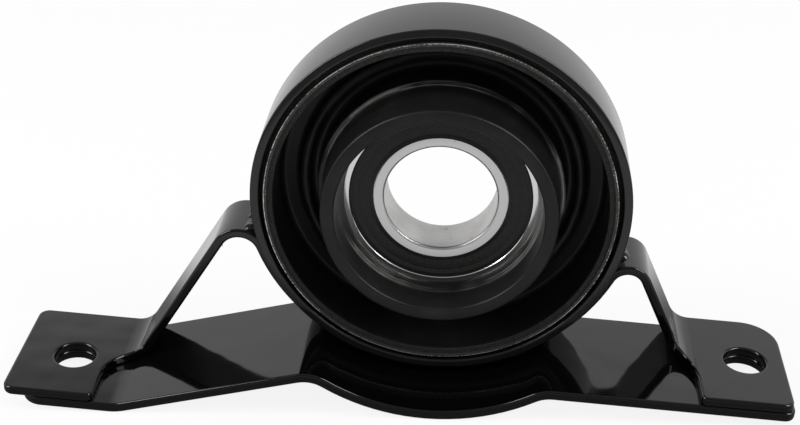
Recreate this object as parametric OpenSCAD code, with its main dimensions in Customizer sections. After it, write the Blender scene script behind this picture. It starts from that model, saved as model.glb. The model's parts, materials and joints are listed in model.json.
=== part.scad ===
// Driveshaft centre bearing: a sealed ball bearing in a rubber mount, held in a steel ring
// that is welded into a bracket of two bent sheet leaves. All sizes are in millimetres.
// The origin is the centre of the bearing. +Y runs along the shaft, away from the open front,
// +X is to the right seen from the front and +Z is up. Profiles that turn about the shaft are
// drawn as [radius, forward], and forward is the way towards the open front, along -Y.

/* [Bearing] */
// Bore of the inner ring
bore_d = 30; // [29:0.5:31]
// Outside diameter of the outer ring
bearing_od = 55; // [54:0.5:57]
// Width of the two rings
bearing_w = 13; // [12.5:0.5:15]
// Wall of each ring behind its ball groove
race_wall = 1.4275; // [1.3:0.0025:1.9]
// Bevel on the bore and on the outer corners of the rings
ring_bevel = 0.8; // [0.4:0.1:1.2]
// Width of the inner ring's bare face, from the bore to the seal lip
land_w = 2.75; // [2.2:0.05:3.2]
// Width of the outer ring's bare face, from the seal to the outside
rim_w = 3.4; // [2.9:0.1:3.6]

/* [Seals and cage] */
// Thickness of a seal
seal_t = 0.7; // [0.5:0.05:0.9]
// Depth of the seal's face below the ring faces
seal_sink = 0.1; // [0.05:0.05:0.3]
// Gap between the seal lip and the inner ring
lip_gap = 0.2; // [0.1:0.05:0.3]
// Sheet thickness of the cage
cage_t = 0.5; // [0.3:0.05:0.5]
// Gap between the cage and the shoulders of the rings
cage_gap = 0.6; // [0.4:0.1:0.9]
// Diameter of a cage rivet
rivet_d = 0.8; // [0.6:0.05:0.9]

/* [Rubber mount] */
// How far the hub stands in front of the bearing's centre
hub_front = 18.2; // [14:0.2:24]
// How far the hub reaches behind the bearing's centre
hub_back = 9.5; // [8.5:0.1:14]
// Wall of the hub round the bearing
hub_wall = 3.4; // [2.6:0.1:5]
// How much the hub thickens towards its root
hub_flare = 1.1; // [0.4:0.1:2]
// How far the lips of the hub cover the outer ring's faces
lip_w = 1.8; // [1:0.1:2.2]
// Length of the front lip's cone
lip_l = 3.2; // [2:0.1:5]
// Width of the rubber band that lines the sleeve
collar_w = 1.6; // [1.2:0.1:3]
// Thickness of the rubber floor under its two grooves
floor_t = 3; // [2:0.1:3.6]
// How far the rubber band lies behind the sleeve's front edge
collar_sink = 0.3; // [0:0.1:1]

/* [Housing ring and sleeve] */
// Outside diameter of the housing ring
ring_od = 100; // [98:0.5:108]
// Wall of the housing ring
ring_t = 2.4; // [1.8:0.1:3]
// Front edge of the ring, in front of the bearing's centre
ring_front = 12.2; // [10.4:0.1:15]
// Back edge of the ring, behind the bearing's centre
ring_back = 7.2; // [6:0.1:8.5]
// Rounding of the ring's front outer edge
ring_ease = 1.2; // [0.6:0.1:1.6]
// Wall of the sleeve that the rubber is bonded to
sleeve_t = 0.8; // [0.6:0.1:1.2]
// How much the sleeve's front neck is drawn in
neck_step = 1.2; // [0.6:0.1:1.6]
// Length of the sleeve's front neck
neck_l = 2.2; // [1.5:0.1:3]

/* [Bracket] */
// Sheet thickness of the upper leaf
strap_t = 2.6; // [2:0.1:3.2]
// Sheet thickness of the lower leaf
plate_t = 2.8; // [2:0.1:3.4]
// Front edge of the strap that cradles the ring
strap_front = 7.5; // [6:0.5:10]
// Back edge of the upper leaf, behind the bearing's centre
strap_back = 10; // [8.5:0.5:12]
// Back edge of the lower leaf, behind the bearing's centre
plate_back = 9; // [7.5:0.5:12]
// Front edge of the feet and of the lower leaf
leaf_front = 29.2; // [25:0.2:34]
// How far the strap leaves the ring below the level of the shaft, in degrees
peak_angle = 22.7; // [16:0.1:30]
// Inside bend radius at the left peak
left_peak_r = 5.2; // [4:0.1:6]
// Inside bend radius at the right peak
right_peak_r = 4.1; // [3:0.1:6]
// Slope of the left strut, in degrees
left_slope = 61; // [56:0.5:68]
// Slope of the right strut, in degrees
right_slope = 62.5; // [56:0.5:70]
// Hollow radius that the weld beads fill between ring and peaks
weld_r = 1.6; // [0.8:0.1:2.4]
// Bend radius between strut and foot
foot_r = 6.5; // [4:0.1:9]

/* [Feet] */
// Depth of the left foot's top below the shaft
left_drop = 57.7; // [54:0.1:62]
// Depth of the right foot's top below the shaft
right_drop = 39.9; // [37:0.1:42]
// Distance of the left hole from the shaft
left_hole = 98.9; // [96:0.1:104]
// Distance of the right hole from the shaft
right_hole = 86.8; // [84:0.1:90]
// Bolt hole diameter in both leaves
hole_d = 11.4; // [9:0.1:13]
// Left hole's place in front of the bearing's centre
left_hole_front = 11.4; // [8:0.1:13]
// Right hole's place in front of the bearing's centre
right_hole_front = 9.6; // [7:0.1:13]
// Length of the left foot beyond its hole
left_margin = 15.8; // [12:0.1:20]
// Length of the right foot beyond its hole
right_margin = 10.8; // [9:0.1:15]
// Length of the left foot from its hole to its inner edge
left_inset = 8.9; // [8:0.1:10]
// Length of the right foot from its hole to its inner edge
right_inset = 13.6; // [12.6:0.1:14.2]
// How far the left foot's inner edge curves in towards the strap
left_sweep = 10; // [7:0.5:12]
// Length of that curve, along the shaft
left_sweep_l = 11.5; // [9:0.5:14]
// How far the right foot's inner edge curves in towards the strap
right_sweep = 6.2; // [4:0.2:9]
// Length of that curve, along the shaft
right_sweep_l = 13.5; // [9:0.5:15]
// Small corner radius of the feet
corner_r = 3; // [1:0.5:6]
// Radius of the right foot's back corner
back_corner_r = 10; // [5:0.5:12]
// How far the lower leaf stops short of the left foot's end
plate_short = 4.6; // [2:0.2:8]
// How far the lower leaf stands out beyond the right foot's end
plate_over = 0.8; // [0:0.1:2]

/* [Lower leaf] */
// How far inside the left strut's bend the ramp starts
ramp_start = 0.2; // [0.1:0.1:2]
// Slope of the left ramp, in degrees
ramp = 17.4; // [15:0.1:18.5]
// Bend radius at the foot of the ramp, on the upper side
ramp_r = 12; // [10:0.5:30]
// Bend radius under the two crests beside the trough
crest_r = 8; // [4:0.5:12]

/* [Hidden] */
$fn = 128;
fine = 4 * $fn;

// Bearing
balls = 11;
race_gap = 0.06;
ball_d = (bearing_od - bore_d) / 2 - 2 * (race_wall + race_gap);
ball_r = ball_d / 2;
pitch_r = (bore_d + bearing_od) / 4;
ball_step = 360 / balls;
groove_r = ball_r * 1.03;
groove_depth = ball_d * 0.27;
shoulder_gap = ball_d + 2 * (race_gap - groove_depth);
cage_w = shoulder_gap - 2 * cage_gap;
inner_groove = pitch_r - ball_r - race_gap + groove_r;
outer_groove = pitch_r + ball_r + race_gap - groove_r;
bearing_r = bearing_od / 2;
half_w = bearing_w / 2;
seal_face = half_w - seal_sink;
seal_inside = seal_face - seal_t;
side_gap = 0.3;
shoulder_half = seal_inside - side_gap;
land_r = bore_d / 2 + land_w;
seal_r = bearing_r - rim_w;
seal_dish = seal_t / 4;
seal_bead = (seal_r - land_r) / 6;
pocket_gap = 0.1;
pocket_r = ball_r + pocket_gap;
shell_r = pocket_r + cage_t;
rivet_head_d = rivet_d * 1.4;
rivet_head_h = cage_t * 0.8;

// Housing ring, sleeve and rubber
ring_r = ring_od / 2;
ring_in = ring_r - ring_t;
edge_ease = ring_t / 4;
sleeve_in = ring_in - sleeve_t;
neck_out = ring_in - neck_step;
neck_in = neck_out - sleeve_t;
neck_start = ring_front - neck_l;
collar_in = neck_in - collar_w;
hub_r = bearing_r + hub_wall;
root_r = hub_r + hub_flare;
mouth_step = 0.2;
mouth_r = bearing_r + mouth_step;
rubber_ease = 0.8;
fold_r = (collar_in - root_r) / 4;
fold_back = ring_back - floor_t;
ridge_r = fold_r / 4;

// Bracket, drawn with level feet and then tipped to how it stands
cradle_r = ring_r + strap_t;
trough_r = cradle_r + plate_t;
left_end = left_hole + left_margin;
right_end = right_hole + right_margin;
left_edge = left_hole - left_inset;
right_edge = right_hole - right_inset;
left_level = -left_drop - strap_t;
right_level = -right_drop - strap_t;
ramp_centre = [ramp_start - foot_centre(left_peak_r, left_slope, left_drop)[0], left_level + ramp_r];
stand_tilt = atan2(-ramp_centre[1], -ramp_centre[0])
  - asin((trough_r - ramp_r - plate_t) / norm(ramp_centre));
slack = 1;
lap = 0.2;

// A profile given as [radius, forward] and turned about the shaft
module turned() {
  rotate([90, 0, 0]) rotate_extrude() children();
}

// A profile seen from the front and run from one depth to another, both measured forward
module run(from, to) {
  rotate([90, 0, 0]) translate([0, 0, from]) linear_extrude(to - from) children();
}

// The bracket's own frame, with both feet level
module bracket_frame() {
  rotate([0, stand_tilt, 0]) children();
}

// A plan outline given as [x, forward], tall enough to pass through the whole bracket
module plan() {
  tall = 4 * ring_od;
  rotate([180, 0, 0]) linear_extrude(tall, center = true) children();
}

// A rectangle from one corner to the other, with its own rounding at each corner
module eased(low, high, r) {
  size = high - low;
  translate(low) {
    polygon([[r[0], 0], [size[0] - r[1], 0], [size[0], r[1]], [size[0], size[1] - r[2]],
      [size[0] - r[2], size[1]], [r[3], size[1]], [0, size[1] - r[3]], [0, r[0]]]);
    translate([r[0], r[0]]) circle(r[0]);
    translate([size[0] - r[1], r[1]]) circle(r[1]);
    translate([size[0] - r[2], size[1] - r[2]]) circle(r[2]);
    translate([r[3], size[1] - r[3]]) circle(r[3]);
  }
}

// A bent stretch of sheet: the part of a ring between two angles, less than half a turn.
// It laps a little over the stretches next to it, so that they make one piece.
module bend(centre, inner, outer, from, to) {
  far = 3 * outer;
  over = asin(lap / outer);
  first = from - over;
  last = to + over;
  mid = (from + to) / 2;
  translate(centre) intersection() {
    difference() {
      circle(outer);
      circle(inner);
    }
    polygon([[0, 0], far * [cos(first), sin(first)], far * [cos(mid), sin(mid)],
      far * [cos(last), sin(last)]]);
  }
}

// A straight stretch of sheet along the line from one point to another, thick to its right.
// It laps over its neighbours too, and an open end is trimmed by the leaf's outline.
module flat(from, to, thick) {
  way = to - from;
  translate(from) rotate(atan2(way[1], way[0]))
    translate([-lap, -thick]) square([norm(way) + 2 * lap, thick]);
}

// Centre of a peak's bend, given its inside radius, as if on the right-hand side
function peak_centre(r) = (cradle_r + r) * [cos(peak_angle), -sin(peak_angle)];

// Point where a strut's outer face leaves the peak
function strut_top(r, slope) = peak_centre(r) + (r + strap_t) * [sin(slope), cos(slope)];

// Length of a strut's straight stretch
function strut_length(r, slope, drop) =
  (strut_top(r, slope)[1] + foot_r * cos(slope) + drop - foot_r) / sin(slope);

// Centre of the bend between strut and foot
function foot_centre(r, slope, drop) = strut_top(r, slope) + foot_r * [sin(slope), cos(slope)]
  + strut_length(r, slope, drop) * [cos(slope), -sin(slope)];

// One side of the upper leaf from the cradle to the end of its foot, on the right-hand side
module strap_side(r, slope, drop, end) {
  top = strut_top(r, slope);
  turn = foot_centre(r, slope, drop);
  bend(peak_centre(r), r, r + strap_t, 90 - slope, 180 - peak_angle);
  flat(top, top + strut_length(r, slope, drop) * [cos(slope), -sin(slope)], strap_t);
  bend(turn, foot_r, foot_r + strap_t, -90 - slope, -90);
  flat([turn[0], -drop], [end + slack, -drop], strap_t);
}

// The upper leaf's section: both sides and the cradle under the ring
module strap_section() {
  strap_side(right_peak_r, right_slope, right_drop, right_end);
  mirror([1, 0]) strap_side(left_peak_r, left_slope, left_drop, left_end);
  bend([0, 0], ring_r, cradle_r, -90, -peak_angle);
  bend([0, 0], ring_r, cradle_r, -180 + peak_angle, -90);
}

// The curve by which a foot's inner edge runs back into the strut, on the right-hand side
module sweep(edge, across, along) {
  r = (across * across + along * along) / (2 * across);
  difference() {
    translate([edge - across, strap_front]) square([across, along]);
    translate([edge - r, strap_front + along]) circle(r);
  }
}

// The upper leaf's outline in plan: two broad feet joined by the strap
module strap_outline() {
  ease = corner_r / 2;
  eased([-left_end, -strap_back], [-left_edge, leaf_front],
    [corner_r, slack, ease, corner_r]);
  eased([right_edge, -strap_back], [right_end, leaf_front],
    [slack, back_corner_r, corner_r, ease]);
  translate([-left_edge - slack, -strap_back])
    square([left_edge + right_edge + 2 * slack, strap_back + strap_front]);
  sweep(right_edge, right_sweep, right_sweep_l);
  mirror([1, 0]) sweep(left_edge, left_sweep, left_sweep_l);
}

module bolt_holes() {
  tall = 4 * ring_od;
  translate([-left_hole, -left_hole_front, 0]) cylinder(d = hole_d, h = tall, center = true);
  translate([right_hole, -right_hole_front, 0]) cylinder(d = hole_d, h = tall, center = true);
}

module upper_strap() {
  color("#1b1b1d") bracket_frame() difference() {
    intersection() {
      run(-strap_back - slack, leaf_front + slack) strap_section();
      plan() strap_outline();
    }
    bolt_holes();
  }
}

// Centre of the crest that a line of sheet makes with the trough, given a point on the line's
// upper face and its direction towards the trough
function crest_centre(point, way) =
  let (down = way[0] > 0 ? [way[1], -way[0]] : [-way[1], way[0]],
    q = point + (crest_r + plate_t) * down,
    along = q * way)
  q - (along + sqrt(along * along - q * q + pow(trough_r + crest_r, 2))) * way;

// The lower leaf's section: left foot, ramp, trough under the ring and level right side
module plate_section() {
  rise = [cos(ramp), sin(ramp)];
  ramp_foot = ramp_centre + ramp_r * [sin(ramp), -cos(ramp)];
  left = crest_centre(ramp_foot, rise);
  right = crest_centre([right_end, right_level], [-1, 0]);
  left_turn = atan2(-left[1], -left[0]);
  right_turn = atan2(-right[1], -right[0]);
  crest_top = left + (crest_r + plate_t) * [-sin(ramp), cos(ramp)];
  flat([-left_end, left_level], [ramp_centre[0], left_level], plate_t);
  bend(ramp_centre, ramp_r, ramp_r + plate_t, -90, -90 + ramp);
  flat(ramp_foot, crest_top, plate_t);
  bend(left, crest_r, crest_r + plate_t, left_turn, 90 + ramp);
  bend([0, 0], cradle_r, trough_r, left_turn - 180, -90);
  bend([0, 0], cradle_r, trough_r, -90, right_turn - 180);
  bend(right, crest_r, crest_r + plate_t, 90, right_turn);
  flat([right[0], right_level], [right_end + plate_over + slack, right_level], plate_t);
}

module lower_plate() {
  color("#19191b") bracket_frame() difference() {
    intersection() {
      run(-plate_back - slack, leaf_front + slack) plate_section();
      plan() eased([-left_end + plate_short, -plate_back], [right_end + plate_over, leaf_front],
        [corner_r, back_corner_r, corner_r, 2 * corner_r]);
    }
    bolt_holes();
  }
}

// Weld beads in the notches between the ring and the two peaks
module weld_bead(peak_r) {
  centre = peak_centre(peak_r);
  peak_out = peak_r + strap_t;
  far = cradle_r + peak_r;
  near = peak_out + weld_r;
  turn = acos((far * far + near * near - pow(ring_r + weld_r, 2)) / (2 * far * near));
  seat = centre + near * [cos(180 - peak_angle - turn), sin(180 - peak_angle - turn)];
  touch = ring_r * [cos(peak_angle), -sin(peak_angle)];
  on_ring = ring_r * seat / norm(seat);
  on_peak = centre + peak_out * (seat - centre) / near;
  run(-ring_back, strap_front) difference() {
    polygon([touch, on_peak, seat, on_ring]);
    circle(ring_r, $fn = fine);
    translate(centre) circle(peak_out, $fn = fine);
  }
}

module weld_beads() {
  color("#2a2a2c") bracket_frame() {
    weld_bead(right_peak_r);
    mirror([1, 0, 0]) weld_bead(left_peak_r);
  }
}

module housing_ring() {
  color("#202022") turned() eased([ring_in, -ring_back], [ring_r, ring_front],
    [edge_ease, edge_ease, ring_ease, edge_ease]);
}

module outer_sleeve() {
  color("#6a655c") turned() polygon([[sleeve_in, -ring_back], [ring_in, -ring_back],
    [ring_in, neck_start - neck_step], [neck_out, neck_start], [neck_out, ring_front],
    [neck_in, ring_front], [neck_in, neck_start - neck_step / 2],
    [sleeve_in, neck_start - neck_step * 3 / 2]]);
}

// The rubber's section before its grooves are cut: band, floor and hub in one outline
module rubber_blank() {
  collar_face = ring_front - collar_sink;
  polygon([[collar_in, -ring_back], [sleeve_in, -ring_back],
    [sleeve_in, neck_start - neck_step * 3 / 2], [neck_in, neck_start - neck_step / 2],
    [neck_in, collar_face], [collar_in, collar_face]]);
  polygon([[hub_r - hub_wall / 2, -ring_back], [collar_in + collar_w / 2, -ring_back],
    [collar_in + collar_w / 2, -fold_back + fold_r], [hub_r - hub_wall / 2, -fold_back + fold_r]]);
  polygon([[bearing_r, -hub_back], [hub_r, -hub_back], [root_r, -ring_back],
    [root_r, fold_r - fold_back], [hub_r, hub_front - rubber_ease],
    [hub_r - rubber_ease, hub_front], [mouth_r + rubber_ease, hub_front],
    [mouth_r, hub_front - rubber_ease], [mouth_r, half_w + lip_l],
    [bearing_r - lip_w, half_w], [bearing_r, half_w], [bearing_r, -half_w],
    [bearing_r - lip_w, -half_w], [bearing_r - lip_w, -hub_back]]);
  translate([hub_r - rubber_ease, hub_front - rubber_ease]) circle(rubber_ease);
  translate([mouth_r + rubber_ease, hub_front - rubber_ease]) circle(rubber_ease);
}

// The two round grooves in the rubber's floor and the low ridge between them
module rubber_folds() {
  inner = root_r + fold_r;
  outer = collar_in - fold_r;
  floor_y = fold_r - fold_back;
  difference() {
    union() {
      translate([inner, floor_y]) circle(fold_r);
      translate([outer, floor_y]) circle(fold_r);
      translate([inner, floor_y - fold_r / 2]) square([outer - inner, fold_r]);
    }
    translate([(inner + outer) / 2, floor_y - fold_r / 2]) circle(ridge_r);
  }
}

module rubber_mount() {
  color("#141414") turned() difference() {
    rubber_blank();
    rubber_folds();
  }
}

module bearing_outer_ring() {
  color("#b9bbbd") turned() difference() {
    polygon([[pitch_r + shoulder_gap / 2, -seal_inside], [seal_r, -seal_inside],
      [seal_r, -half_w], [bearing_r - ring_bevel, -half_w], [bearing_r, -half_w + ring_bevel],
      [bearing_r, half_w - ring_bevel], [bearing_r - ring_bevel, half_w], [seal_r, half_w],
      [seal_r, seal_inside], [pitch_r + shoulder_gap / 2, seal_inside]]);
    translate([outer_groove, 0]) circle(groove_r);
  }
}

module bearing_inner_ring() {
  color("#c4c6c8") turned() difference() {
    polygon([[bore_d / 2, -half_w + ring_bevel], [bore_d / 2 + ring_bevel, -half_w],
      [land_r, -half_w], [land_r, -shoulder_half], [pitch_r - shoulder_gap / 2, -shoulder_half],
      [pitch_r - shoulder_gap / 2, shoulder_half], [land_r, shoulder_half], [land_r, half_w],
      [bore_d / 2 + ring_bevel, half_w], [bore_d / 2, half_w - ring_bevel]]);
    translate([inner_groove, 0]) circle(groove_r);
  }
}

// A seal: a thin ring with a shallow dish between its two edges
module seal() {
  lip_r = land_r + lip_gap;
  turned() polygon([[lip_r, seal_inside], [seal_r, seal_inside], [seal_r, seal_face],
    [seal_r - seal_bead, seal_face], [seal_r - 2 * seal_bead, seal_face - seal_dish],
    [lip_r + seal_bead, seal_face - seal_dish], [lip_r, seal_face]]);
}

module front_seal() {
  color("#1a1a1a") seal();
}

module rear_seal() {
  color("#1a1a1a") mirror([0, 1, 0]) seal();
}

// Places its child at a ball's angle on the pitch circle
module on_pitch(i) {
  rotate([0, -90 - i * ball_step, 0]) translate([pitch_r, 0, 0]) children();
}

// One ribbon half of the cage: flat webs between round pockets
module cage_half() {
  difference() {
    intersection() {
      turned() translate([pitch_r - cage_w / 2, 0]) square([cage_w, shell_r + slack]);
      union() {
        turned() square([bearing_r, cage_t]);
        for (i = [0:balls - 1]) on_pitch(i) sphere(shell_r);
      }
    }
    for (i = [0:balls - 1]) on_pitch(i) sphere(pocket_r);
    for (i = [0:balls - 1]) on_pitch(i + 0.5) rotate([90, 0, 0])
      cylinder(d = rivet_d, h = 2 * shell_r, center = true);
  }
}

module cage_front() {
  color("#8f9194") cage_half();
}

module cage_rear() {
  color("#8f9194") rotate([0, 0, 180]) cage_half();
}

module cage_rivets() {
  color("#7c7e81") for (i = [0:balls - 1]) on_pitch(i + 0.5) rotate([90, 0, 0]) {
    cylinder(d = rivet_d, h = 2 * cage_t + rivet_head_h, center = true);
    for (side = [-1, 1]) translate([0, 0, side * (cage_t + rivet_head_h / 2)])
      cylinder(d = rivet_head_d, h = rivet_head_h, center = true);
  }
}

module ball(i) {
  color("#d5d7d9") on_pitch(i) sphere(ball_r);
}

upper_strap();
lower_plate();
weld_beads();
housing_ring();
outer_sleeve();
rubber_mount();
bearing_outer_ring();
bearing_inner_ring();
front_seal();
rear_seal();
cage_front();
cage_rear();
cage_rivets();
ball(0);  // ball_1
ball(1);  // ball_2
ball(2);  // ball_3
ball(3);  // ball_4
ball(4);  // ball_5
ball(5);  // ball_6
ball(6);  // ball_7
ball(7);  // ball_8
ball(8);  // ball_9
ball(9);  // ball_10
ball(10);  // ball_11
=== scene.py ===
import json
from math import cos, pi, radians, sin
import bpy
from bpy.props import FloatProperty, FloatVectorProperty, PointerProperty
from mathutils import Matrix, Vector

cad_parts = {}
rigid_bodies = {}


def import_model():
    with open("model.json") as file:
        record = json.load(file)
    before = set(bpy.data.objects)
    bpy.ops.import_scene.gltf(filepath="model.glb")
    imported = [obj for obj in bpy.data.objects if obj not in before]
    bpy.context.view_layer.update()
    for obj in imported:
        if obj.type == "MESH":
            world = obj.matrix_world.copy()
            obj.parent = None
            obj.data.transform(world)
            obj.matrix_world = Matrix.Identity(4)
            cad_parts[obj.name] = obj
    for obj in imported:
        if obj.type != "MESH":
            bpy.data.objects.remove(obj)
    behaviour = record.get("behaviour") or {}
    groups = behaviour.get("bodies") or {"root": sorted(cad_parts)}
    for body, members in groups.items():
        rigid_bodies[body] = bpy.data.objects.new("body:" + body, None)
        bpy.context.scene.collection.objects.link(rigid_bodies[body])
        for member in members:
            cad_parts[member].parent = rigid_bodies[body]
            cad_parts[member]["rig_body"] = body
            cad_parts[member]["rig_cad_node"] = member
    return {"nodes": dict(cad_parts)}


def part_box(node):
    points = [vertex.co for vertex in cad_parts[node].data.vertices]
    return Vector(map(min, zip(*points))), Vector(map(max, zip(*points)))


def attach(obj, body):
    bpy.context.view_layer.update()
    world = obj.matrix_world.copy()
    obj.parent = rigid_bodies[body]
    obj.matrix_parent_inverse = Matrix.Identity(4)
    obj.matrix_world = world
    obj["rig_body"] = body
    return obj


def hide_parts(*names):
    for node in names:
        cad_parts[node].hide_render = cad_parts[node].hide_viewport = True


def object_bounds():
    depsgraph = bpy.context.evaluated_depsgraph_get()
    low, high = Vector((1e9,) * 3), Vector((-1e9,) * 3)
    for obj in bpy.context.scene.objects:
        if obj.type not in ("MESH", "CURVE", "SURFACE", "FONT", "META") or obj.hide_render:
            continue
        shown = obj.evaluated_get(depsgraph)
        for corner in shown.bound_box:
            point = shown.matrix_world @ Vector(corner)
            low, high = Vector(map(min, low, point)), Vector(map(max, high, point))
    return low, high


bl_info = {
    "name": "Driveshaft centre bearing",
    "version": (1, 0, 0),
    "blender": (4, 5, 0),
    "location": "3D View > Sidebar > Centre bearing",
    "description": "Finishes of a driveshaft centre bearing: bracket, welds, ring, rubber and ball bearing",
    "category": "Object",
}

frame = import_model()
cad_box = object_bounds()
BALLS = [name for name in frame["nodes"] if name.startswith("ball_")]

# Points closer than this, in metres, are joined: in a copy of a CAD node, and in a turned piece.
COPY_JOIN = 2e-5
TURNED_JOIN = 1e-6


def colour(name, description, default):
    return FloatVectorProperty(
        name=name, description=description, subtype="COLOR", size=3, min=0, max=1, default=default
    )


def length(name, description, default):
    return FloatProperty(
        name=name, description=description, subtype="DISTANCE", unit="LENGTH", min=0, default=default
    )


def turn(name, description, default):
    return FloatProperty(name=name, description=description, unit="ROTATION", default=default)


class BearingLooks(bpy.types.PropertyGroup):
    paint: colour("Bracket paint", "Gloss black paint of the two leaves", (0.0015, 0.0015, 0.0016))
    dust: colour("Dust", "Fine dust that has settled in the paint", (0.012, 0.012, 0.0115))
    ring_paint: colour("Ring paint", "Satin black paint of the housing ring", (0.004, 0.004, 0.0042))
    plating: colour("Sleeve", "Dull plated steel of the sleeve", (0.03, 0.028, 0.025))
    rubber: colour("Rubber", "Moulded black rubber", (0.008, 0.008, 0.008))
    # Real grey bloom on the rubber, and also the colour of a painted highlight along the rubber floor's
    # ridge.
    bloom: colour("Bloom", "Grey film on the moulded rubber", (0.05, 0.049, 0.046))
    steel: colour("Bearing steel", "Ground steel of the rings", (0.78, 0.78, 0.78))
    # Painted highlight: a light colour laid on streaks of the rubber lip and the hub's shoulder, where the
    # lamps' highlights fall.
    painted_highlight: colour("Scuff", "Bright scuffs round the rubber lip", (0.3, 0.296, 0.28))
    # Painted shade: this dull colour darkens the bore of the inner ring.
    film_and_painted_light: colour("Oil film", "Dull film in the bore of the inner ring", (0.36, 0.355, 0.35))
    stain: colour("Stain", "Specks in the ground steel", (0.16, 0.15, 0.14))
    seal: colour("Seal", "Smooth black rubber of the seals", (0.003, 0.003, 0.003))
    cage: colour("Cage", "Pressed steel of the ball cage", (0.42, 0.42, 0.43))
    ball: colour("Balls", "Polished steel of the balls", (0.7, 0.7, 0.71))
    sheet_edge: length("Sheet edge", "Rounding of the leaves' cut edges", 0.0007)
    ring_edge: length("Ring edge", "Rounding of the housing ring's front outer edge", 0.0005)
    steel_edge: length("Steel edge", "Rounding of the bearing rings' corners", 0.0008)
    shoulder_w: length("Hub shoulder", "Width of the shoulder round the rubber hub", 0.0011)
    shoulder_front: length(
        "Shoulder place", "How far the hub's shoulder stands in front of the bearing's middle", 0.0045
    )
    ridge_at: length("Floor ridge", "Radius of the ridge in the rubber floor", 0.0372)
    ridge_r: length("Ridge rounding", "Rounding of the ridge in the rubber floor", 0.0013)
    bead_r: length("Weld bead", "Radius of a ripple in the weld beads", 0.0021)
    bead_lean: length("Weld spread", "How far the weld beads lie out on the bracket's peaks", 0.0026)
    bead_pitch: length("Weld ripple", "Distance between the ripples of a weld bead", 0.0018)


class StageLooks(bpy.types.PropertyGroup):
    floor: colour("Floor", "Pale floor under the part", (0.9, 0.9, 0.9))
    floor_size: length("Floor size", "Side of the square floor", 6)
    sky: FloatProperty(
        name="Fill", description="Strength of the even light from all round", min=0, default=0.55
    )
    key: FloatProperty(
        name="Key lights", description="Power of each soft side light", unit="POWER", min=0, default=5.0
    )
    key_size: length("Key light size", "Side of a soft side light", 0.3)
    key_out: length("Key light place", "How far a side light stands out from the middle", 0.75)
    key_front: length("Key light front", "How far a side light stands in front of the middle", 0.25)
    key_up: length("Key light height", "How high a side light stands above the middle", 0.62)
    lens: FloatProperty(
        name="Lens", description="Focal length of the camera", subtype="DISTANCE_CAMERA", default=65.25
    )
    sensor: FloatProperty(name="Sensor", description="Sensor width", subtype="DISTANCE_CAMERA", default=36)
    place: FloatVectorProperty(
        name="Camera place", description="Where the camera stands", subtype="TRANSLATION", unit="LENGTH",
        default=(0.017394, -0.34285, 0.182351)
    )
    lean: turn("Lean", "Camera's lean to the side", radians(1.3919))
    swing: turn("Swing", "Camera's turn to the left", 0.0704)
    dip: turn("Dip", "Camera's look down", 0.5069)


class Wire:
    """A node's output. Arithmetic on it adds Math nodes to its material."""

    def __init__(self, finish, socket):
        self.finish = finish
        self.socket = socket

    def math(self, operation, *values):
        return self.finish.node("ShaderNodeMath", {"operation": operation}, dict(enumerate(values)))

    def __add__(self, other):
        return self.math("ADD", self, other)

    def __radd__(self, other):
        return self.math("ADD", other, self)

    def __sub__(self, other):
        return self.math("SUBTRACT", self, other)

    def __rsub__(self, other):
        return self.math("SUBTRACT", other, self)

    def __mul__(self, other):
        return self.math("MULTIPLY", self, other)

    def __rmul__(self, other):
        return self.math("MULTIPLY", other, self)

    def __pow__(self, power):
        return self.math("POWER", self, power)


class Nodes:
    """Adds nodes to one node tree."""

    def __init__(self, tree):
        self.tree = tree

    def node(self, kind, settings=None, sockets=None, out=0):
        """A node of a type, with its settings set first and then its sockets' values or links."""
        made = self.tree.nodes.new(kind)
        for name, value in (settings or {}).items():
            setattr(made, name, value)
        for name, value in (sockets or {}).items():
            self.feed(made.inputs[name], value)
        return Wire(self, made.outputs[out])

    def feed(self, socket, value):
        if isinstance(value, Wire):
            self.tree.links.new(value.socket, socket)
        else:
            socket.default_value = value

    def place(self, output):
        """The x, y and z of one of the Texture Coordinate node's outputs."""
        parts = self.tree.nodes.new("ShaderNodeSeparateXYZ")
        self.feed(parts.inputs[0], self.node("ShaderNodeTexCoord", out=output))
        return [Wire(self, axis) for axis in parts.outputs]

    def spread(self, value, low, high):
        """0 below low, 1 above high, and smooth between them."""
        settings = {"interpolation_type": "SMOOTHSTEP", "clamp": True}
        sockets = {"Value": value, "From Min": low, "From Max": high}
        return self.node("ShaderNodeMapRange", settings, sockets)

    def band(self, value, low, high, soft):
        """1 from low to high, fading to 0 within soft of them."""
        return self.spread(value, low - soft, low) * (1 - self.spread(value, high, high + soft))


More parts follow.
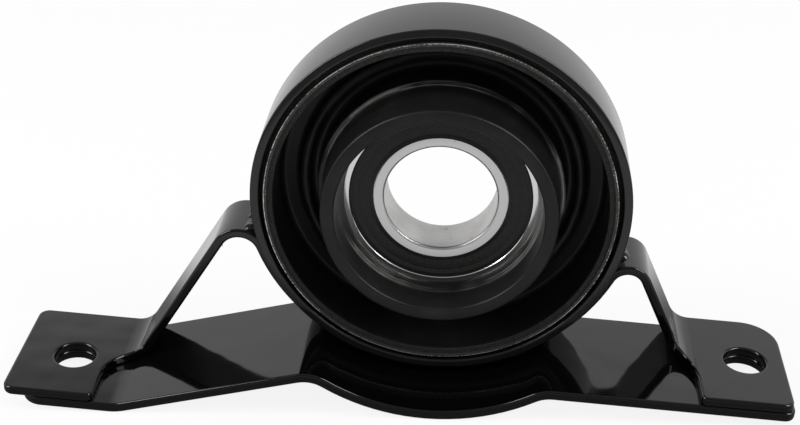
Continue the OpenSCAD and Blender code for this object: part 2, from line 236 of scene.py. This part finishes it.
class Finish(Nodes):
    """A material with one Principled shader, fed by patterns on Object coordinates."""

    def __init__(self, name, **constants):
        self.material = bpy.data.materials.new(name)
        self.material.use_nodes = True
        super().__init__(self.material.node_tree)
        self.shader = self.tree.nodes["Principled BSDF"]
        for socket, value in constants.items():
            self.shader.inputs[socket.replace("_", " ")].default_value = value
        self.where = self.node("ShaderNodeTexCoord", out="Object")
        self.x, self.y, self.z = self.place("Object")
        self.forward = 0 - self.y

    def radius(self):
        """Distance from the shaft's axis."""
        return (self.x * self.x + self.z * self.z) ** 0.5

    def point(self, x, y, z):
        return self.node("ShaderNodeCombineXYZ", sockets={0: x, 1: y, 2: z})

    def noise(self, scale, detail=2, rough=0.5, at=None):
        sockets = {"Vector": at or self.where, "Scale": scale, "Detail": detail, "Roughness": rough}
        return self.node("ShaderNodeTexNoise", sockets=sockets)

    def mix(self, factor, first, second):
        settings = {"data_type": "RGBA", "blend_type": "MIX"}
        return self.node("ShaderNodeMix", settings, {0: factor, 6: shade(first), 7: shade(second)}, out=2)

    def show(self, base, rough, metal=0, *, height):
        """Feeds the shader. The height is in metres and becomes a bump."""
        bump = self.node("ShaderNodeBump", sockets={"Strength": 1, "Distance": 1, "Height": height})
        values = {"Base Color": base, "Roughness": rough, "Metallic": metal, "Normal": bump}
        for name, value in values.items():
            self.feed(self.shader.inputs[name], value)
        return self.material


def shade(value):
    """A colour as its socket takes it."""
    return value if isinstance(value, Wire) else (*value, 1)


def gloss_paint(looks):
    """Gloss black paint with slow waves from the sheet, fine orange peel and a little dust."""
    f = Finish("gloss_black_paint", IOR=1.48)
    waves = f.noise(38, 2)
    peel = f.noise(620, 2)
    dust = f.spread(f.noise(3400, 3, 0.6), 0.68, 0.8)
    rough = 0.045 + 0.05 * f.noise(150) + 0.12 * dust
    return f.show(f.mix(dust, looks.paint, looks.dust), rough, height=waves * 0.0003 + peel * 0.000003)


def weld_paint(looks):
    """The same paint run over the ripples of a weld, with a few burnt specks."""
    f = Finish("painted_weld", IOR=1.5)
    speck = f.spread(f.noise(1500, 3), 0.6, 0.72)
    rough = 0.1 + 0.25 * speck
    return f.show(f.mix(speck, looks.paint, looks.dust), rough, height=f.noise(900, 3) * 0.00003)


def satin_paint(looks):
    """Satin black paint of the ring: fine grain in slow patches, rubbed smooth along its front edge."""
    f = Finish("satin_black_paint", IOR=1.48)
    grain = f.noise(2600, 3, 0.6)
    patch = f.noise(70, 3)
    edge = f.spread(f.forward, 0.0114, 0.0119)
    base = f.mix(grain * patch, looks.ring_paint, looks.dust)
    rough = 0.13 + 0.06 * patch + 0.05 * grain - 0.07 * edge
    return f.show(base, rough, height=grain * 0.000003 + patch * 0.00002)


def plated_steel(looks):
    """Dull plated steel of the sleeve, grainy with old bonding agent and worn bright along its corner."""
    f = Finish("dull_plated_steel")
    grain = f.noise(2400, 4, 0.7)
    corner = f.spread(f.radius(), 0.0461, 0.0463) * f.spread(f.forward, 0.0118, 0.0121)
    patch = f.spread(f.noise(75, 2), 0.4, 0.62)
    worn = f.spread(grain + (0.1 + 0.18 * patch) * corner, 0.62, 0.74)
    base = f.mix(worn, looks.plating, looks.steel)
    return f.show(base, 0.6 - 0.3 * worn, 0.1 + 0.8 * worn, height=grain * 0.00004)


def moulded_rubber(looks):
    """Moulded black rubber: grainy sleeve band, grey bloom, painted highlight streaks on lip, shoulder and
    ridge.
    """
    f = Finish("moulded_black_rubber", Specular_IOR_Level=0.25)
    r = f.radius()
    forward = f.forward
    grain = f.noise(3000, 4, 0.7)
    cloud = f.noise(130, 3)
    patch = f.spread(f.noise(55, 2), 0.38, 0.6)
    turned = f.noise(1, 3, 0.6, f.point(r * 4200, forward * 4200, f.noise(50) * 5))
    streak = f.spread(turned, 0.42, 0.62) * patch
    band = f.band(r, 0.0438, 0.047, 0.0003) * f.spread(forward, 0.0108, 0.0116)
    lip = f.band(r, 0.0255, 0.0277, 0.0002) * f.band(forward, 0.0062, 0.0098, 0.0003)
    shoulder = f.band(r, 0.0317, 0.033, 0.0002) * f.band(forward, 0.0037, 0.0047, 0.0004)
    ridge = f.band(r, 0.0364, 0.038, 0.0004) * f.band(forward, -0.003, -0.002, 0.0006)
    crumbs = f.spread(grain, 0.46, 0.62) * band
    # Real grey bloom in clouds and crumbs in the sleeve band, plus a painted highlight on streaks along the
    # floor ridge.
    film_and_painted_light = f.spread(cloud, 0.45, 0.75) * 0.1 + crumbs * 0.5 + 0.4 * ridge * streak
    # Painted highlight: the lip's streaks are lighter towards its left and right, where the side lamps'
    # highlights fall.
    side_highlight_share = f.spread(f.x * f.x, 0.00002, 0.00013)
    # Painted highlight: streaks on the lip and on the hub's shoulder take a light colour in place of the
    # lamps' highlights.
    painted_highlight_streaks = (lip * (0.2 + 0.8 * side_highlight_share) + 0.8 * shoulder) * streak
    base = f.mix(painted_highlight_streaks, f.mix(film_and_painted_light, looks.rubber, looks.bloom), looks.painted_highlight)
    rough = 0.4 - 0.1 * grain - 0.15 * painted_highlight_streaks + 0.2 * band
    return f.show(base, rough, height=grain * 0.00001 + crumbs * 0.00004 + streak * lip * 0.00003)


def ground_steel(looks):
    """Ground bearing steel: fine lines round the axis, a matt inner ring with painted shade in its bore, a
    few specks.
    """
    f = Finish("ground_bearing_steel")
    r = f.radius()
    lines = f.noise(1, 2, 0.6, f.point(r * 9000, f.y * 9000, f.noise(40) * 2))
    cloud = f.noise(160, 3)
    inner = 1 - f.spread(r, 0.0182, 0.019)
    bore = 1 - f.spread(r, 0.01505, 0.0153)
    speck = f.spread(f.noise(900, 1), 0.74, 0.78) * inner
    # Painted shade: the bore is darkened towards the dull colour, in soft clouds.
    clean = f.mix(bore * (0.6 + 0.5 * cloud), looks.steel, looks.film_and_painted_light)
    base = f.mix(speck * 0.8, clean, looks.stain)
    rough = 0.09 + 0.05 * lines + 0.04 * cloud + 0.2 * inner + 0.2 * speck
    return f.show(base, rough, 1 - 0.5 * speck, height=lines * (0.0000006 + 0.0000014 * inner))


def seal_rubber(looks):
    """Smooth black rubber of a seal, with faint moulding lines round the axis."""
    f = Finish("seal_rubber", Specular_IOR_Level=0.22)
    lines = f.noise(1, 1, 0.5, f.point(f.radius() * 2600, 0, 0))
    grain = f.noise(2200, 3)
    base = f.mix(grain * lines, looks.seal, looks.bloom)
    rough = 0.2 + 0.08 * grain + 0.05 * lines
    return f.show(base, rough, height=lines * 0.000012 + grain * 0.000004)


def pressed_steel(looks):
    """Pressed sheet of the ball cage, with the drag lines of the press."""
    f = Finish("pressed_steel")
    drag = f.noise(700, 3, 0.6, f.point(f.x, f.y * 6, f.z))
    base = f.mix(drag, looks.cage, looks.steel)
    return f.show(base, 0.3 + 0.25 * drag, 1 - 0.1 * drag, height=drag * 0.000006)


def polished_steel(looks):
    """Polished ball steel under a trace of grease."""
    f = Finish("polished_ball_steel")
    smear = f.spread(f.noise(300, 3), 0.45, 0.7)
    base = f.mix(smear, looks.ball, looks.cage)
    return f.show(base, 0.06 + 0.16 * smear, 1 - 0.15 * smear, height=smear * 0.000002)


def dress(material, *nodes):
    """Gives CAD nodes one material in place of their own."""
    for name in nodes:
        mesh = frame["nodes"][name].data
        mesh.materials.clear()
        mesh.materials.append(material)


def select_only(piece):
    bpy.ops.object.select_all(action="DESELECT")
    piece.select_set(True)
    bpy.context.view_layer.objects.active = piece


def modify(piece, kind, **settings):
    """Adds a modifier, sets it and applies it."""
    select_only(piece)
    bpy.ops.object.modifier_add(type=kind)
    modifier = piece.modifiers[-1]
    for name, value in settings.items():
        setattr(modifier, name, value)
    bpy.ops.object.modifier_apply(modifier=modifier.name)


def merged_copy(node, name):
    """A copy of a CAD node with its triangles joined up again, free to be shaped."""
    select_only(frame["nodes"][node])
    bpy.ops.object.duplicate()
    piece = bpy.context.view_layer.objects.active
    piece.name = name
    del piece["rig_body"]
    del piece["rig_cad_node"]
    bpy.ops.object.parent_clear(type="CLEAR")
    bpy.ops.mesh.customdata_custom_splitnormals_clear()
    bpy.ops.object.mode_set(mode="EDIT")
    bpy.ops.mesh.select_all(action="SELECT")
    bpy.ops.mesh.remove_doubles(threshold=COPY_JOIN)
    bpy.ops.mesh.dissolve_limited(angle_limit=radians(0.4))
    bpy.ops.object.mode_set(mode="OBJECT")
    return piece


def arc(r, forward, radius, start, end, steps=8):
    """Points of an arc in a profile, as (radius, forward), from one angle to another in degrees."""
    angles = [radians(start + (end - start) * step / steps) for step in range(steps + 1)]
    return [(r + radius * cos(angle), forward + radius * sin(angle)) for angle in angles]


def turned_piece(name, profile, steps=192):
    """A closed profile, given as (radius, forward), turned about the shaft into a piece."""
    bpy.ops.object.select_all(action="DESELECT")
    bpy.ops.mesh.primitive_circle_add(vertices=len(profile), fill_type="NOTHING", location=(0, 0, 0))
    piece = bpy.context.view_layer.objects.active
    piece.name = name
    for vertex, (r, forward) in zip(piece.data.vertices, profile):
        vertex.co = (r, -forward, 0)
    bpy.ops.object.mode_set(mode="EDIT")
    bpy.ops.mesh.select_all(action="SELECT")
    bpy.ops.mesh.spin(steps=steps, angle=2 * pi, center=(0, 0, 0), axis=(0, 1, 0))
    bpy.ops.mesh.select_all(action="SELECT")
    bpy.ops.mesh.remove_doubles(threshold=TURNED_JOIN)
    bpy.ops.mesh.normals_make_consistent(inside=False)
    bpy.ops.object.mode_set(mode="OBJECT")
    bpy.ops.object.shade_smooth_by_angle(angle=radians(28))
    return piece


def stand_for(piece, node, body, material):
    """The piece takes a CAD node's place, rides on its body and wears a material."""
    piece.data.materials.clear()
    piece.data.materials.append(material)
    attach(piece, body)
    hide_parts(node)


class BEARING_OT_bracket(bpy.types.Operator):
    """Rounds the cut edges of both leaves and paints them gloss black"""

    bl_idname = "bearing.bracket"
    bl_label = "Bracket"

    def execute(self, context):
        looks = context.scene.bearing_looks
        paint = gloss_paint(looks)
        for node in ("upper_strap", "lower_plate"):
            piece = merged_copy(node, node + "_painted")
            modify(
                piece, "BEVEL", width=looks.sheet_edge, segments=4, limit_method="ANGLE",
                angle_limit=radians(40), use_clamp_overlap=False
            )
            bpy.ops.object.shade_smooth()
            modify(piece, "WEIGHTED_NORMAL", weight=80, keep_sharp=False)
            stand_for(piece, node, "housing", paint)
        return {"FINISHED"}


class BEARING_OT_welds(bpy.types.Operator):
    """Lays a rippled weld bead in each notch between ring and bracket"""

    bl_idname = "bearing.welds"
    bl_label = "Weld beads"

    def execute(self, context):
        looks = context.scene.bearing_looks
        points = [v.co.copy() for v in frame["nodes"]["weld_beads"].data.vertices]
        low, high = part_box("weld_beads")
        front_gaps, back_gap = {-1: 0.003, 1: 0.0062}, 0.0008
        fullest, thinner = 1.16, 0.06
        end = high.y - back_gap
        ripples = []
        for side, front_gap in front_gaps.items():
            start = low.y + front_gap
            group = [p for p in points if p.x * side > 0]
            middle = sum(group, Vector()) / len(group)
            steps = int((end - start) / looks.bead_pitch)
            for step in range(steps + 1):
                along = start + (end - start) * step / steps
                swell = looks.bead_r * (fullest - thinner * (step * 7 % 5))
                for lean in (0, looks.bead_lean):
                    bpy.ops.object.select_all(action="DESELECT")
                    bpy.ops.mesh.primitive_uv_sphere_add(
                        segments=24, ring_count=16, radius=swell,
                        location=(middle.x + side * lean, along, middle.z)
                    )
                    ripples.append(context.view_layer.objects.active)
        bpy.ops.object.select_all(action="DESELECT")
        for ripple in ripples:
            ripple.select_set(True)
        context.view_layer.objects.active = ripples[0]
        bpy.ops.object.join()
        piece = context.view_layer.objects.active
        piece.name = "weld_ripples"
        bpy.ops.object.transform_apply(location=True, rotation=True, scale=True)
        modify(piece, "REMESH", mode="VOXEL", voxel_size=0.00022)
        modify(piece, "SMOOTH", factor=0.5, iterations=3)
        bpy.ops.object.shade_smooth()
        stand_for(piece, "weld_beads", "housing", weld_paint(looks))
        return {"FINISHED"}


class BEARING_OT_ring(bpy.types.Operator):
    """Turns and paints the housing ring, and plates the sleeve inside it"""

    bl_idname = "bearing.ring"
    bl_label = "Housing ring and sleeve"

    def execute(self, context):
        looks = context.scene.bearing_looks
        inner, outer, back, front, ease = 0.0476, 0.05, -0.0072, 0.0122, 0.0006
        edge = looks.ring_edge
        profile = (
            arc(inner + ease, back + ease, ease, -180, -90) + arc(outer - ease, back + ease, ease, -90, 0)
            + arc(outer - edge, front - edge, edge, 0, 90) + arc(inner + ease, front - ease, ease, 90, 180)
        )
        ring = turned_piece("housing_ring_painted", profile)
        stand_for(ring, "housing_ring", "housing", satin_paint(looks))
        dress(plated_steel(looks), "outer_sleeve")
        return {"FINISHED"}


class BEARING_OT_rubber(bpy.types.Operator):
    """Turns the rubber mount: band in the sleeve, floor with a ridge, hub with its shoulder and lips"""

    bl_idname = "bearing.rubber"
    bl_label = "Rubber mount"

    def execute(self, context):
        looks = context.scene.bearing_looks
        band_out, neck, band_in, band_front = 0.0468, 0.0456, 0.044, 0.0119
        neck_from, neck_to = 0.0082, 0.0094
        back, floor, ease, trim = -0.0072, -0.0052, 0.0008, 0.0003
        hub_r, hub_front, hub_back, hub_taper = 0.0309, 0.0182, -0.0095, 0.0009
        mouth_r, seat_r, lip_r, half_w, lip_front = 0.0272, 0.0275, 0.0257, 0.0065, 0.0097
        shoulder_r = hub_r + hub_taper
        root_r = shoulder_r + looks.shoulder_w
        round_r = looks.shoulder_w / 2
        fold_r = (looks.ridge_at - looks.ridge_r - root_r) / 2
        fold = floor + fold_r
        band = [(band_out, back), (band_out, neck_from), (neck, neck_to), (neck, band_front)]
        band += arc(band_in + trim, band_front - trim, trim, 90, 180)
        grooves = (
            arc(band_in - fold_r, fold, fold_r, 0, -90)
            + arc(looks.ridge_at + looks.ridge_r + fold_r, fold, fold_r, -90, -180)
            + arc(looks.ridge_at, fold, looks.ridge_r, 0, 180, 16)[1:-1]
            + arc(root_r + fold_r, fold, fold_r, 0, -180, 16)
        )
        hub = (
            arc(root_r - round_r, looks.shoulder_front - round_r, round_r, 0, 90)
            + [(shoulder_r, looks.shoulder_front)]
            + arc(hub_r - ease, hub_front - ease, ease, 0, 90)
            + arc(mouth_r + ease, hub_front - ease, ease, 90, 180)
            + [(mouth_r, lip_front), (lip_r, half_w), (seat_r, half_w)]
            + [(seat_r, -half_w), (lip_r, -half_w), (lip_r, hub_back), (hub_r, hub_back), (root_r, back)]
        )
        rubber = turned_piece("moulded_rubber", band + grooves + hub)
        stand_for(rubber, "rubber_mount", "housing", moulded_rubber(looks))
        return {"FINISHED"}


class BEARING_OT_rings(bpy.types.Operator):
    """Finishes the ball bearing: rings with rounded edges, seals, cage and balls"""

    bl_idname = "bearing.rings"
    bl_label = "Ball bearing"

    def execute(self, context):
        looks = context.scene.bearing_looks
        steel = ground_steel(looks)
        edge, half_w, seal_back, step_back = looks.steel_edge, 0.0065, 0.0057, 0.0054
        groove_r, groove_turn = 0.0049054, 61.595

        outer_r, rim_r, rim_edge, track_r, groove_at = 0.0275, 0.0241, 0.0003, 0.0235007, 0.0211671
        outer = (
            arc(outer_r - edge, edge - half_w, edge, -90, 0)
            + arc(outer_r - edge, half_w - edge, edge, 0, 90)
            + [(rim_r + rim_edge, half_w), (rim_r, half_w - rim_edge)]
            + [(rim_r, seal_back), (track_r, seal_back)]
            + arc(groove_at, 0, groove_r, groove_turn, -groove_turn, 24)
            + [(track_r, -seal_back), (rim_r, -seal_back)]
            + [(rim_r, rim_edge - half_w), (rim_r + rim_edge, -half_w)]
        )
        ring = turned_piece("outer_ring_ground", outer)
        stand_for(ring, "bearing_outer_ring", "housing", steel)

        bore_r, land_r, track_r, groove_at = 0.015, 0.01775, 0.0189993, 0.0213329
        inner = (
            arc(bore_r + edge, edge - half_w, edge, 270, 180)
            + arc(bore_r + edge, half_w - edge, edge, 180, 90)
            + [(land_r, half_w), (land_r, step_back), (track_r, step_back)]
            + arc(groove_at, 0, groove_r, 180 - groove_turn, 180 + groove_turn, 24)
            + [(track_r, -step_back), (land_r, -step_back), (land_r, -half_w)]
        )
        ring = turned_piece("inner_ring_ground", inner)
        stand_for(ring, "bearing_inner_ring", "inner_ring", steel)

        dress(seal_rubber(looks), "front_seal", "rear_seal")
        dress(pressed_steel(looks), "cage_front", "cage_rear", "cage_rivets")
        dress(polished_steel(looks), *BALLS)
        return {"FINISHED"}


def backdrop_rays(nodes, mirrored):
    """The backdrop's light for a ray, and 1 for the rays that see it at all: white from the camera and
    through glass, and the mirrored share of it in a reflection."""
    path = nodes.tree.nodes.new("ShaderNodeLightPath")
    rays = ("Is Camera Ray", "Is Glossy Ray", "Is Transmission Ray")
    camera, glossy, through = (Wire(nodes, path.outputs[name]) for name in rays)
    straight = camera.math("MAXIMUM", camera, through)
    return straight + glossy * mirrored, straight + glossy


class BEARING_OT_stage(bpy.types.Operator):
    """Sets the pale floor, the soft light and the camera"""

    bl_idname = "bearing.stage"
    bl_label = "Stage"

    def execute(self, context):
        scene = context.scene
        looks = scene.bearing_stage
        low = cad_box[0]
        bpy.ops.object.select_all(action="DESELECT")
        bpy.ops.mesh.primitive_plane_add(size=looks.floor_size, location=(0, 0, low.z))
        floor = context.view_layer.objects.active
        floor.name = "floor"
        floor.data.materials.append(self.floor_material(looks))

        scene.world = bpy.data.worlds.new("even_light")
        scene.world.use_nodes = True
        sky = Nodes(scene.world.node_tree)
        background = sky.tree.nodes["Background"]
        background.inputs["Strength"].default_value = 1
        _, along, up = sky.place("Generated")
        front_dimmed = 0.2 + 0.8 * sky.spread(along, -0.9, -0.2)
        top_dimmed = 1 - 0.6 * sky.spread(up, 0.54, 0.66)
        light, seen = backdrop_rays(sky, front_dimmed * top_dimmed)
        sky.feed(background.inputs["Color"], light + (1 - seen) * looks.sky)

        for side in (-1, 1):
            stand = (side * looks.key_out, -looks.key_front, looks.key_up)
            bpy.ops.object.light_add(type="AREA", location=stand)
            key = context.view_layer.objects.active
            key.name = "key_light_left" if side < 0 else "key_light_right"
            key.data.energy = looks.key
            key.data.shape = "RECTANGLE"
            key.data.size = looks.key_size
            key.data.size_y = looks.key_size * 2
            key.rotation_euler = (-key.location).to_track_quat("-Z", "Y").to_euler()

        bpy.ops.object.camera_add(location=looks.place)
        camera = context.view_layer.objects.active
        camera.name = "photo_camera"
        camera.rotation_mode = "XZY"
        camera.rotation_euler = (radians(90) - looks.dip, looks.lean, looks.swing)
        camera.data.sensor_width = looks.sensor
        camera.data.lens = looks.lens
        camera.data.clip_start = 0.01
        scene.camera = camera
        scene.view_settings.view_transform = "Standard"
        return {"FINISHED"}

    def floor_material(self, looks):
        """Pale matt floor that the camera sees nearly white, with the part's soft shadow left on it."""
        material = bpy.data.materials.new("pale_floor")
        material.use_nodes = True
        nodes = Nodes(material.node_tree)
        matt = nodes.tree.nodes["Principled BSDF"]
        matt.inputs["Base Color"].default_value = shade(looks.floor)
        matt.inputs["Roughness"].default_value = 0.9
        matt.inputs["Specular IOR Level"].default_value = 0.1
        _, along, _ = nodes.place("Object")
        # Painted light seen only in reflections: the floor's glow is dim next to the part as a painted
        # shadow, bright in a painted strip in front of it, dim further forward and bright behind.
        front = nodes.band(along, -0.165, -0.085, 0.035)
        back = nodes.spread(along, 0.03, 0.08)
        light, seen = backdrop_rays(nodes, 0.1 + 0.6 * front + 0.9 * back)
        glow = nodes.node("ShaderNodeEmission", sockets={"Color": light, "Strength": 1})
        glow_share = 0.88
        matt_floor = Wire(nodes, matt.outputs[0])
        both = nodes.node("ShaderNodeMixShader", sockets={0: seen * glow_share, 1: matt_floor, 2: glow})
        nodes.feed(nodes.tree.nodes["Material Output"].inputs["Surface"], both)
        return material


class BEARING_PT_sidebar(bpy.types.Panel):
    """Lists the steps that finish the centre bearing"""

    bl_idname = "BEARING_PT_sidebar"
    bl_label = "Centre bearing"
    bl_space_type = "VIEW_3D"
    bl_region_type = "UI"
    bl_category = "Centre bearing"

    def draw(self, context):
        for operator in OPERATORS:
            self.layout.operator(operator.bl_idname)


OPERATORS = (
    BEARING_OT_bracket,
    BEARING_OT_welds,
    BEARING_OT_ring,
    BEARING_OT_rubber,
    BEARING_OT_rings,
    BEARING_OT_stage,
)
CLASSES = (BearingLooks, StageLooks, *OPERATORS, BEARING_PT_sidebar)


def register():
    for kind in CLASSES:
        bpy.utils.register_class(kind)
    bpy.types.Scene.bearing_looks = PointerProperty(type=BearingLooks)
    bpy.types.Scene.bearing_stage = PointerProperty(type=StageLooks)


def unregister():
    del bpy.types.Scene.bearing_stage
    del bpy.types.Scene.bearing_looks
    for kind in reversed(CLASSES):
        bpy.utils.unregister_class(kind)


def main():
    register()
    bpy.ops.bearing.bracket()
    bpy.ops.bearing.welds()
    bpy.ops.bearing.ring()
    bpy.ops.bearing.rubber()
    bpy.ops.bearing.rings()
    bpy.ops.bearing.stage()


if __name__ == "__main__":
    main()
